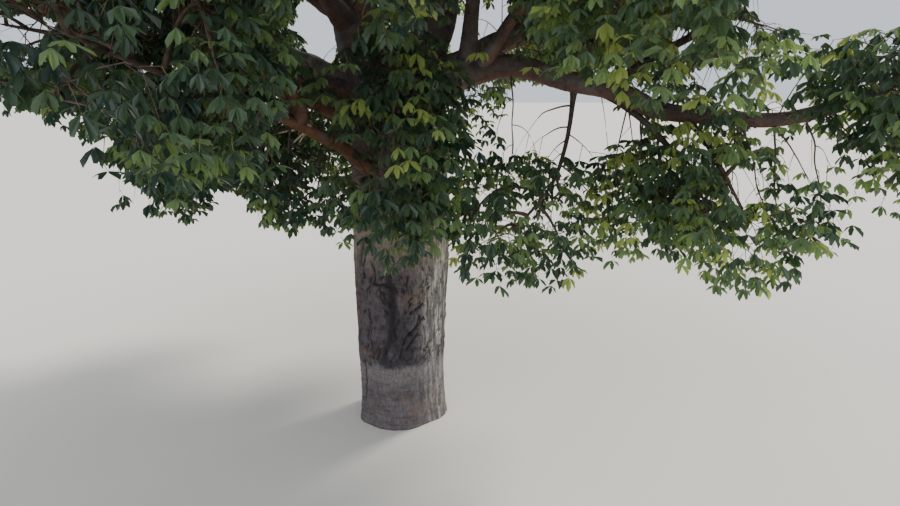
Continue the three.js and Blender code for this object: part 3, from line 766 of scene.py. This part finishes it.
# A short broken branch: a lumpy tube whose torn end is ragged and sunk in, with pale splinters beside it.
def makeStub():
    rings, sides = stub["rings"], stub["sides"]
    start, knot = bezier(limbs[stub["limb"]]["handles"], [stub["at"], stub["splinterAt"]])
    way = unit(np.array(stub["way"]))
    shares = np.linspace(0, 1, rings)
    turn, along = np.meshgrid(np.arange(sides) * fullTurn / sides, shares * stub["length"])
    radius = np.interp(shares, np.linspace(0, 1, len(stub["radii"])), stub["radii"])[:, None]
    radius = radius * (1 + 0.09 * waves(turn, along, 83, 8, 4, 30))
    path = start + stub["length"] * shares[:, None] * way + (0.05 * shares**2)[:, None] * up
    side = tubes(path[None], radius[None], sides)[0]
    ragged = 0.035 * waves(turn[0], 0, 85, 9, 9, 0)
    side = side + (shares**8)[:, None, None] * ragged[None, :, None] * way
    rim = side[-1] - path[-1]
    hollow = [path[-1] + rim * (0.78 - 0.32 * step) - 0.02 * (step + 1) * way for step in range(2)]
    points = closed(np.stack([*side, *hollow])[None], path[:1], path[-1:] - 0.06 * way)[0]
    straight = np.stack([radius * np.cos(turn), radius * np.sin(turn), along + 3.3], -1).reshape(-1, 3)
    straight = np.concatenate([straight, np.zeros((len(points) - len(straight), 3))])
    faces = skinFaces(1, rings + 2, sides)
    torn = [np.arange(len(faces[0])) >= (rings - 1) * sides, np.arange(len(faces[1])) >= sides]
    paints, torn = [boughPaints["bough_bark_red"], woodPaint], np.concatenate(torn)
    addPiece("torn_stub", points, faces, paints, [], torn, attributes={"straight": straight})
    ways = np.array(stub["splinters"])
    shares = np.linspace(0, 1, 7)
    paths = knot + [0, -0.07, 0.02] + shares[None, :, None] * ways[:, None, 3:4] * ways[:, None, :3]
    paths = paths + (0.06 * shares * (1 - shares))[None, :, None] * up
    points, *faces = pointedTubes(paths, ways[:, 4:] * (1 - 0.6 * shares), 6)
    addPiece("pale_splinters", points, faces, [woodPaint], [])


makeStub()
print("stub made")

growth = {
    "seat": 0.0003,  # between a limb's tip and its stem
    "stemBend": 0.45, "stemReach": 0.25, "stemTip": 0.016,
    "twigCount": 6, "twigRoot": 0.03, "twigTip": 0.012, "twigFrom": 0.9, "twigReach": 0.5, "twigBow": 0.1,
    "twigMargin": 0.052,  # left clear inside a mass's own space
    "limbMargin": 0.05,  # left clear of a limb by twigs and shoots
    "sampleEvery": 0.07,  # metres between the places that stand for a limb there
    "drawnIn": [1, 0.8, 0.62],
    "branchEvery": 0.16,  # cubic metres of a mass's whole ellipsoid for each branchlet
    "branchReach": (0.36, 0.97),  # where branchlets end, as shares of the way to the skin
    "strays": 0.04,  # share of them that may end in an opening
    "pathMargin": 0.02,
    "shootShares": [0.34, 0.52, 0.66, 0.78, 0.88, 0.95, 1.0],
    "shootLength": 0.17, "shootVariety": 0.3, "shootDrawn": [1, 0.72, 0.5], "shootSag": 0.25,
    "leafShares": [0.5, 0.8, 1.0],
    "openMass": (1.0, 1.3),  # masses between these widths are thinner, the narrow one at the trunk denser
    "openShare": 0.62, "denseShare": 1.5,
    "shared": 0.1,  # how far past the wall to its neighbour a mass may reach
    "fringe": 0.1,  # how far leaf tips stand out of a mass's ellipsoid
    "hang": 1.12,  # how much deeper than high a mass is
    "overhang": 0.02,  # of each side of the solids' box, how far leaves may stand out of it
    "sprayEvery": 0.16,  # metres of limb for each small twig on its own skin
    "sprayFrom": 1.25,  # metres from the trunk's middle
    "sprayLength": 0.34, "sprayVariety": 0.4, "spraySag": 0.3, "sprayShares": [0.5, 0.75, 1.0],
    "hangerShares": [0.75, 1.0],
}

leaf = {
    "length": 0.168,  # of its middle leaflet
    "variety": 0.4,
    "width": 0.37,  # of the leaflet's length
    "fan": [-2.1, -1.0, 0.0, 1.0, 2.1],  # radians
    "shares": [0.7, 0.9, 1.0, 0.9, 0.7],
    "stalk": 0.095, "stalkWidth": 0.0035,
    "droop": 0.35, "droopVariety": 1.35,
    "margin": 0.012,  # left clear of a limb
}

# Corners of a leaflet: shares of its length along it, of its width aside, of its fold up.
pointedBlade = [
    (0.05, 0, 0), (0.42, 0.42, 0.7), (0.8, 0.44, 0.9), (1.03, 0, -0.5), (0.8, -0.44, 0.9), (0.42, -0.42, 0.7)
]
bluntBlade = [(0.05, 0, 0), (0.52, 0.5, 0.9), (0.94, 0.22, -0.1), (0.94, -0.22, -0.1), (0.52, -0.5, 0.9)]
blades = [bluntBlade, bluntBlade, pointedBlade, bluntBlade, bluntBlade]

# Openings in the foliage as seen from the view: how far right and up of its middle, half width and half
# height, all as shares of the depth, and the depth up to which they stay open.
openings = [
    (0.178, 0.222, 0.088, 0.06, 99),  # the sky under the long bough
    (-0.203, 0.392, 0.052, 0.042, 99),  # the sky to the left of the fork
    (-0.708, 0.375, 0.05, 0.016, 99),
    (-0.217, 0.33, 0.024, 0.022, 99),
    (-0.18, 0.28, 0.022, 0.018, 99),
    (0.076, 0.368, 0.024, 0.046, 99),  # beside the riser over the fork
    (0.014, 0.362, 0.013, 0.038, 99),
    (0.385, 0.352, 0.013, 0.017, 99),
    (0.43, 0.292, 0.021, 0.014, 99),
    (0.485, 0.372, 0.014, 0.012, 99),
    (0.642, 0.418, 0.158, 0.043, 99),  # the sky over the right of the crown
    (0.592, 0.163, 0.036, 0.026, 99),
    (0.492, 0.113, 0.024, 0.027, 99),
    (0.287, 0.208, 0.023, 0.026, 99),
    (-0.783, -0.015, 0.25, 0.245, 99),  # under the left of the crown
    (-0.433, -0.053, 0.25, 0.103, 99),
    (-0.363, 0.03, 0.043, 0.063, 99),
    (-0.165, 0.155, 0.04, 0.026, 6.9),  # in front of the low bough
    (-0.24, 0.2, 0.042, 0.036, 6.9),
]


# How far a mass's ellipsoid reaches from its middle in one direction.
def skinDistance(mass, towards):
    return 1 / np.hypot(np.hypot(towards[0], towards[1]) / mass["wide"], towards[2] / mass["tall"])


# An ellipsoid, cut flat where the next mass begins.
def spaceOf(mass):
    walls = []
    for other in (limb["mass"] for limb in limbs.values()):
        way = other["middle"] - mass["middle"]
        distance = np.linalg.norm(way)
        if distance == 0:
            continue
        mine, theirs = skinDistance(mass, way / distance), skinDistance(other, way / distance)
        if distance < mine + theirs:
            walls.append((way / distance, distance * mine / (mine + theirs) + growth["shared"]))
    return {**mass, "reach": np.array([mass["wide"], mass["wide"], mass["tall"]]), "walls": walls}


boxLow, boxHigh = (np.array(corner) for corner in cadBox)
boxEdge = growth["overhang"] * (boxHigh - boxLow)


# False inside an opening, nearer than its depth: ((across - r) / w)^2 + ((rise - u) / h)^2 < 1, where
# sines of across and rise make the edge ragged.
def outOfOpenings(points):
    offset = points - view["place"]
    pitch = math.radians(view["pitch"])
    depth = np.maximum(offset[..., 1] * math.cos(pitch) - offset[..., 2] * math.sin(pitch), 0.1)
    rise = (offset[..., 1] * math.sin(pitch) + offset[..., 2] * math.cos(pitch)) / depth
    across = offset[..., 0] / depth
    ragged = 0.26 * np.sin(90 * across + 3 * np.sin(60 * rise))
    ragged = ragged + 0.22 * np.sin(75 * rise + 2 * np.sin(83 * across))
    good = np.ones(points.shape[:-1], bool)
    for right, high, wide, tall, far in openings:
        apart = ((across - right) / wide) ** 2 + ((rise - high) / tall) ** 2
        good &= (apart > 1 + ragged) | (depth > far)
    return good


# Inside the box and outside the openings, and inside the mass: its ellipsoid and walls less the margin.
def within(space, points, margin):
    good = ((points > boxLow - boxEdge) & (points < boxHigh + boxEdge)).all(-1) & outOfOpenings(points)
    if space is None:
        return good
    offset = points - space["middle"]
    depth = np.where(offset[..., 2:] < 0, growth["hang"], 1.0) * up + [1, 1, 0]
    good &= np.linalg.norm(offset / (space["reach"] * depth - margin), axis=-1) < 1
    for towards, distance in space["walls"]:
        good &= offset @ towards < distance - max(margin, 0.01)
    return good


# Places along every limb at even steps, and the radius there.
def limbSamples():
    places, radii = [], []
    for limb in limbs.values():
        shares = np.linspace(0, 1, max(8, round(limb["length"] / growth["sampleEvery"])))
        places.append(bezier(limb["handles"], shares))
        radii.append(limbRadius(limb, shares))
    return np.concatenate(places), np.concatenate(radii)


samplePlaces, sampleRadii = limbSamples()


# Further than margin from every limb's skin and from the trunk's.
def clearOfLimbs(points, margin):
    flat = points.reshape(-1, 3)
    squares = (flat**2).sum(1)[:, None] + (samplePlaces**2).sum(1) - 2 * flat @ samplePlaces.T
    good = (squares > (sampleRadii + margin) ** 2).all(1)
    height = np.clip(flat[:, 2], 0, trunk["height"])
    offset = flat - trunkCentre(height)
    skin = trunkRadius(np.arctan2(offset[:, 1], offset[:, 0]), height)
    good &= (np.hypot(offset[:, 0], offset[:, 1]) > skin + margin) | (flat[:, 2] > trunk["height"] + margin)
    return good.reshape(points.shape[:-1])


# Directions of an even spiral over a sphere whose pole lies along axis.
def spiral(axis, count, spin):
    index = np.arange(count)
    height = 1 - 2 * (index + 0.5) / count
    ring = np.sqrt(1 - height**2)
    east = unit(np.cross(axis, up))
    north = np.cross(east, axis)
    angle = index * goldenAngle + spin
    way = height[:, None] * axis + (ring * np.cos(angle))[:, None] * east
    return way + (ring * np.sin(angle))[:, None] * north


# The stem runs from the limb's tip through the middle of the mass.
def stemHandles(limb):
    onward = bezierTangent(limb["handles"], [1.0])[0]
    root = limb["handles"][3] + growth["seat"] * onward
    way = limb["mass"]["middle"] - root
    bend = root + growth["stemBend"] * np.linalg.norm(way) * onward
    end = limb["mass"]["middle"] + growth["stemReach"] * limb["mass"]["wide"] * unit(way)
    return np.stack([root, bend, end])


# The main twigs: from the stem towards six even directions, drawn in until they fit.
def twigHandles(space, stem, seed):
    towards = spiral(unit(stem[2] - stem[0]), growth["twigCount"], fullTurn * chance(seed, 0))
    made = []
    for index, way in enumerate(towards):
        share = 1 - growth["twigFrom"] * (index + 0.5) / growth["twigCount"]
        root = bezier(stem, [share])[0]
        for drawn in growth["drawnIn"]:
            end = space["middle"] + way * space["reach"] * growth["twigReach"] * drawn
            bend = (root + end) / 2 + up * growth["twigBow"] * space["wide"]
            handles = np.stack([root, bend, end])
            spots = bezier(handles, [0.35, 0.6, 0.8, 1.0])
            fits = within(space, spots, growth["twigMargin"]) & clearOfLimbs(spots, growth["limbMargin"])
            if fits.all():
                made.append(handles)
                break
    return np.stack(made)


# 0 to 1 over directions: how far the foliage bulges there, a mean of cosines of the way along seeded poles.
def lobes(ways, seed):
    poles = unit(chance(seed, 40, 24).reshape(8, 3) - 0.5)
    value = np.cos(4.6 * ways @ poles.T + fullTurn * chance(seed, 80, 8)).mean(1)
    return np.clip(0.5 + 1.15 * value, 0, 1)


# Ends of the branchlets: an even spiral thinned between the lobes, each short of the skin and the walls.
def branchEnds(space, axis, seed):
    count = 4 / 3 * math.pi * space["wide"] ** 2 * space["tall"] / growth["branchEvery"]
    narrow, wide = growth["openMass"]
    if space["wide"] < wide:
        count *= growth["openShare"] if space["wide"] > narrow else growth["denseShare"]
    count = round(count)
    ways = spiral(axis, count, fullTurn * chance(seed, 1))
    ways = ways[chance(seed, 700, count) < 0.5 + 0.75 * lobes(ways, seed)]
    count = len(ways)
    inner, outer = growth["branchReach"]
    share = inner + (outer - inner) * chance(seed, 500, count) ** 0.6 * (0.62 + 0.38 * lobes(ways, seed))
    offset = ways * space["reach"] * share[:, None]
    for towards, distance in space["walls"]:
        beyond = np.maximum((offset @ towards) / (distance - 0.1 - 0.3 * chance(seed, 900, count)), 1)
        offset = offset / beyond[:, None]
    ends = space["middle"] + offset
    strays = chance(seed, 1100, count) < growth["strays"]
    return ends[clearOfLimbs(ends, 0.06) & (outOfOpenings(ends) | strays)]


# Each branchlet leaves the spot on the stem or a twig that costs least: distance, a turn back and the way in.
def branchHandles(stem, twigs, ends, seed):
    shares = np.linspace(0.3, 1, 8)
    carriers = [stem, *twigs]
    spots = np.concatenate([bezier(carrier, shares) for carrier in carriers])
    tangents = np.concatenate([bezierTangent(carrier, shares) for carrier in carriers])
    early = np.tile(1 - shares, len(carriers))
    way = ends[:, None] - spots[None]
    distance = np.linalg.norm(way, axis=-1)
    turn = 1 - (way * tangents).sum(-1) / np.maximum(distance, 1e-6)
    best = np.argmin(distance * (1 + 0.5 * turn) + 0.15 * early, axis=1)
    root, tangent = spots[best], tangents[best]
    reach = np.linalg.norm(ends - root, axis=1, keepdims=True)
    luck = chance(seed, 1300, len(ends) * 3).reshape(-1, 3) - 0.5
    first = root + reach * (0.28 * tangent + 0.1 * up + 0.16 * luck)
    second = root + (ends - root) * 0.7 + reach * (0.2 * up - 0.16 * luck)
    return np.stack([root, first, second, ends], axis=1)


# cos angle and sin angle along two vectors that are square to each tangent.
def roundAbout(tangent, angle):
    east = unit(np.cross(tangent, up + [0.01, 0.02, 0.0]))
    return np.cos(angle) * east + np.sin(angle) * np.cross(east, tangent)


# Roots along paths, the ways out: onward, aside, turned by the golden angle, and up, and an index for each.
def outgrowths(paths, places, seed, spin, onward, aside, rise):
    shares = np.array(places)
    root = bezier(paths, shares)
    tangent = bezierTangent(paths, shares)
    index = np.arange(len(root))[:, None] * len(shares) + np.arange(len(shares))
    angle = (index * goldenAngle + fullTurn * chance(seed, spin))[..., None]
    outward = np.where(shares[:, None] < 0.99, *aside)  # the last one goes nearly straight on
    return root, unit(onward * tangent + outward * roundAbout(tangent, angle) + rise * up), index


# Root, then a little over half way along, then the end, which hangs lower by the sag.
def sagging(root, way, length, sag):
    return np.stack([root, root + 0.55 * length * way, root + length * way - sag * length * up], axis=1)


# Side shoots along the branchlets, sagging and drawn in until they fit; and whose they are.
def shootHandles(space, branches, seed, places):
    root, way, index = outgrowths(branches, places, seed, 2, 0.6, (0.85, 0.1), -0.15)
    length = growth["shootLength"] + growth["shootVariety"] * chance(seed, 2100 + index)
    root, way, length = root.reshape(-1, 3), way.reshape(-1, 3), length.reshape(-1, 1)
    fits = np.zeros(len(root), bool)
    for drawn in growth["shootDrawn"]:
        tried = np.where(fits[:, None], length, length * drawn)
        end = sagging(root, way, tried, growth["shootSag"])[:, 2]
        good = within(space, end, 0.05) & clearOfLimbs(end, growth["limbMargin"])
        length = np.where(good[:, None] & ~fits[:, None], tried, length)
        fits |= good
    return sagging(root, way, length, growth["shootSag"])[fits], index.ravel()[fits] // len(places)


# Leaves in sprays along the shoots: a stalk, then leaflets that fan out and hang; and whose they are.
def leafSprays(space, shoots, seed):
    root, way, index = outgrowths(shoots, growth["leafShares"], seed, 3, 0.55, (0.9, 0.25), 0.1)
    if space is not None:
        way = unit(way + 0.35 * unit(root - space["middle"]))
    root, way, index = root.reshape(-1, 3), way.reshape(-1, 3), index.ravel()
    size = leaf["length"] * (1 + leaf["variety"] * (chance(seed, 5000 + index) - 0.5))[:, None]
    stalk = leaf["stalk"] * (0.7 + 0.6 * chance(seed, 9000 + index))[:, None]
    hub = root + stalk * way
    droop = (leaf["droop"] + leaf["droopVariety"] * chance(seed, 13000 + index))[:, None, None]
    tilt = unit(up + 0.5 * (chance(seed, 17000, len(root) * 3).reshape(-1, 3) - 0.5))
    ahead = square(way, tilt)
    side = np.cross(tilt, ahead)
    fan = leaf["fan"] + 0.7 * (chance(seed, 21000 + index)[:, None] - 0.5)
    fan = fan + 0.3 * (chance(seed + 0.2, 5 * index[:, None] + np.arange(5)) - 0.5)
    axis = np.cos(fan)[..., None] * ahead[:, None] + np.sin(fan)[..., None] * side[:, None] - droop * up
    axis = unit(axis)
    length = size[:, None] * np.array(leaf["shares"])[:, None]
    tips = hub[:, None] + length * axis
    kept = within(space, hub, 0.01) & within(space, tips, -growth["fringe"]).all(1)
    kept &= clearOfLimbs(hub, leaf["margin"]) & clearOfLimbs(tips, leaf["margin"]).all(1)
    root, hub, tilt, side, axis, length, index = (
        values[kept] for values in (root, hub, tilt, side, axis, length, index)
    )
    blade = unit(np.cross(np.broadcast_to(tilt[:, None], axis.shape), axis))
    fold = (0.05 + 0.16 * chance(seed, 25000 + index))[:, None, None]
    ahead, aside, rise = length * axis, leaf["width"] * length * blade, fold * length * np.cross(axis, blade)
    corners = [
        hub + along * ahead[:, n] + out * aside[:, n] + high * rise[:, n]
        for n, outline in enumerate(blades)
        for along, out, high in outline
    ]
    thin = leaf["stalkWidth"] * side
    corners += [root - thin, root + thin, hub + 0.6 * thin, hub - 0.6 * thin]
    return np.stack(corners, axis=1), index // len(growth["leafShares"])


# Painted sun and shade on the sprays: where they are lighter or darker than their side of the crown: middle,
# reach, change.
lightSpots = [
    ((2.3, -3.2, 5.1), 1.4, 0.2),  # in the sun, over the long bough
    ((3.4, -1.8, 3.4), 1.2, 0.2),
    ((-2.4, -0.8, 3.9), 1.5, -0.35),  # in the shade beside the low bough
]


# Which tint a spray takes, partly at random and partly as painted light: more of the light ones to the right,
# outward and up, where the crown is lit.
def sprayTints(space, shoots, seed):
    end = shoots[:, 2]
    out = 0.8 if space is None else np.linalg.norm((end - space["middle"]) / space["reach"], axis=1)
    light = 0.4 + 0.06 * np.clip(end[:, 0], -5, 3) + 0.02 * end[:, 1] + 0.03 * (end[:, 2] - 5)
    light = light + 0.4 * (out - 0.6) - 0.2 * np.clip(end[:, 0] - 4, 0, 1.5)
    for middle, reach, change in lightSpots:
        light = light + change * np.exp(-(((end - middle) / reach) ** 2).sum(1))
    value = 0.82 * chance(seed, 31000, len(end)) + 0.5 * np.clip(light, 0, 1)
    return np.digitize(value, [0.3, 0.56, 0.8, 1.02, 1.22])


# A fan of triangles from the foot of each leaflet, then where the stalk's corners begin.
def leafFans():
    fans, start = [], 0
    for outline in blades:
        fans += [(start, start + corner + 1, start + corner) for corner in range(1, len(outline) - 1)]
        start += len(outline)
    return np.array(fans), start


leafTriangles, stalkStart = leafFans()


# Shoots, leaves and their tints on branchlets, and the wood under them less what stays bare.
def leafed(space, branches, seed, places, wood=(), name=None):
    shoots, owner = shootHandles(space, branches, seed, places)
    leaves, spray = leafSprays(space, shoots, seed)
    tints = sprayTints(space, shoots, seed)[spray]
    branches, shoots = branches[np.unique(owner[spray])], shoots[np.unique(spray)]
    shares, thin = np.linspace(0, 1, 6), np.array([0, 0.5, 1.0])
    reach = np.linalg.norm(branches[:, -1] - branches[:, 0], axis=1)
    radii = (0.004 + 0.009 * np.clip(reach, 0.2, 1.1))[:, None] * (1 - 0.62 * shares)
    fine = [
        (bezier(branches, shares), radii, 4),
        (bezier(shoots, thin), np.tile(0.0048 - 0.0026 * thin, (len(shoots), 1)), 3),
    ]
    return {"name": name, "wood": [*wood, *fine], "leaves": leaves, "tints": tints}


# Small twigs from the skin of the limbs away from the trunk, turned round them by the golden angle.
def growSprays(limb, seed):
    count = round(limb["length"] / growth["sprayEvery"])
    shares = 0.22 + 0.76 * (np.arange(count) + chance(seed, 300, count)) / count
    core = bezier(limb["handles"], shares)
    tangent = bezierTangent(limb["handles"], shares)
    out = roundAbout(tangent, (np.arange(count) * goldenAngle + seed)[:, None])
    way = unit(out + 0.5 * tangent + 0.2 * up)
    length = (growth["sprayLength"] + growth["sprayVariety"] * chance(seed, 400, count))[:, None]
    branches = sagging(core + 0.8 * limbRadius(limb, shares)[:, None] * out, way, length, growth["spraySag"])
    end = branches[:, 2]
    far = np.hypot(end[:, 0], end[:, 1]) > growth["sprayFrom"]
    branches = branches[far & clearOfLimbs(end, 0.1) & outOfOpenings(end)]
    return leafed(None, branches, seed + 0.5, growth["sprayShares"])


# Paths, their radii, which fall from root to tip by share^0.8, and sides.
def tapered(handles, root, tip, steps, sides):
    shares = np.linspace(0, 1, steps)
    radii = root + (tip - root) * shares**0.8
    return bezier(handles, shares), np.tile(radii, (len(handles), 1)), sides


# A stem with its main twigs, and branchlets, shoots and leaves on them.
def growMass(limb, seed):
    space = spaceOf(limb["mass"])
    stem = stemHandles(limb)
    twigs = twigHandles(space, stem, seed)
    ends = branchEnds(space, unit(stem[2] - stem[0]), seed)
    branches = branchHandles(stem, twigs, ends, seed)
    middles = bezier(branches, [0.25, 0.4, 0.55, 0.7, 0.85])
    margin = growth["pathMargin"]
    branches = branches[(within(space, middles, margin) & clearOfLimbs(middles, margin)).all(1)]
    wood = [
        tapered(stem[None], limb["tip"] * 0.97, growth["stemTip"], 14, 10),
        tapered(twigs, growth["twigRoot"], growth["twigTip"], 10, 7),
    ]
    return leafed(space, branches, seed, growth["shootShares"], wood, limb["mass"]["name"])


# Thin wood that hangs bare for a way: limb, share along it, heading, reach out, drop, root radius.
hangers = [
    ("bough_right_long", 0.27, 285, 0.2, 1.05, 0.014),
    ("bough_right_long", 0.7, 342, 0.75, 1.1, 0.014),
    ("bough_right_long", 0.74, 330, 0.1, 0.7, 0.012),
    ("bough_right_long", 0.8, 350, 0.25, 1.1, 0.016),
    ("bough_right_long", 0.84, 340, 0.45, 0.95, 0.014),
    ("limb_right_droop", 0.5, 0, 0.08, 0.75, 0.015),
    ("limb_right_droop", 0.85, 20, 0.1, 0.45, 0.011),
    ("limb_right_hanging", 0.24, 188, 0.44, 0.17, 0.013),
    ("limb_right_hanging", 0.52, 172, 0.34, 0.12, 0.011),
    ("limb_right_outer", 0.6, 300, 0.15, 0.7, 0.012),
]
for number, name in enumerate(limbs):
    if name.startswith("bough") and name != "bough_right_long":
        luck = chance(61, number, 4, 100)
        hangers += [
            (name, 0.52, 360 * luck[0], 0.2, 0.5 + 0.4 * luck[1], 0.013),
            (name, 0.74, 360 * luck[2], 0.2, 0.5 + 0.4 * luck[3], 0.012),
        ]


# One of them: it leaves outward, sways down, and carries a few side twigs with a spray at their ends.
def growHanger(row, seed):
    name, at, heading, out, drop, radius = row
    start = bezier(limbs[name]["handles"], [at])[0]
    away = direction(heading)
    end = start + out * away - drop * up
    inner = start + 0.6 * out * away + 0.12 * drop * up
    outer = end - 0.3 * out * away + 0.4 * drop * up
    shares = np.linspace(0, 1, 26)
    sway = np.stack([waves(0, shares * (out + drop), seed + axis, 5, 0, 15) for axis in range(3)], -1)
    path = bezier(np.stack([start, inner, outer, end]), shares) + 0.022 * np.sqrt(shares)[:, None] * sway
    branches = path[None, [19, 22, 25]]
    if drop > 0.3:
        joint = path[[8, 13, 18, 22]]
        ways = np.stack([direction(heading + turn) for turn in (65, -65, 65, -65)])
        length = (0.2 + 0.16 * chance(seed, 700, 4))[:, None]
        tips = joint + length * (0.8 * ways - 0.6 * up)
        branches = np.concatenate([branches, np.stack([joint, joint + 0.55 * length * ways, tips], axis=1)])
    wood = [(path[None], (radius * (1 - 0.6 * shares))[None], 7)]
    return leafed(None, branches, seed, growth["hangerShares"], wood)


# All the wood of some masses as one skin of pointed tubes.
def joinWood(masses):
    skins = [pointedTubes(*tube) for mass in masses for tube in mass["wood"]]
    starts = np.cumsum([0] + [points.size // 3 for points, four, three in skins])
    four, three = (np.concatenate([skin[n] + start for skin, start in zip(skins, starts)]) for n in (1, 2))
    return np.concatenate([points.reshape(-1, 3) for points, *faces in skins]), (four, three)


# All their leaves: corners, triangles of the leaflets with quads of the stalks, and each face's tint.
def joinLeaves(masses):
    leaves = np.concatenate([mass["leaves"] for mass in masses])
    tints = np.concatenate([mass["tints"] for mass in masses])
    start = np.arange(len(leaves))[:, None, None] * leaves.shape[1]
    leaflets = (leafTriangles[None] + start).reshape(-1, 3)
    stalks = (stalkStart + np.arange(4)[None, None] + start).reshape(-1, 4)
    index = np.concatenate([np.repeat(tints, len(leafTriangles)), np.full(len(leaves), len(leafTints))])
    return leaves, (leaflets, stalks), index


masses = [growMass(limb, number + 1) for number, limb in enumerate(limbs.values())]
masses += [growSprays(limb, number + 51) for number, limb in enumerate(limbs.values())]
masses += [growHanger(row, number + 101) for number, row in enumerate(hangers)]
print("leaves", sum(len(mass["leaves"]) for mass in masses))

# Neighbouring masses share a piece, up to so many triangles of leaves.
pieceLimit = 185000
groups, filled = [[]], 0
for mass in masses:
    weight = len(mass["leaves"]) * (len(leafTriangles) + 2)
    if filled + weight > pieceLimit:
        groups.append([])
        filled = 0
    groups[-1].append(mass)
    filled += weight

triangles = 0
for number, group in enumerate(groups):
    names = [mass["name"] for mass in group if mass["name"]]
    points, faces = joinWood(group)
    addPiece(f"twigs_{number + 1}", points, faces, [twigPaint], names)
    triangles += 2 * len(faces[0]) + len(faces[1])
    points, faces, index = joinLeaves(group)
    paints = [*leafPaints, stalkPaint]
    addPiece(f"leaves_{number + 1}", points, faces, paints, names, index, smooth=False)
    triangles += len(faces[0]) + 2 * len(faces[1])
print("foliage made", triangles, "triangles in", 2 * len(groups), "pieces")
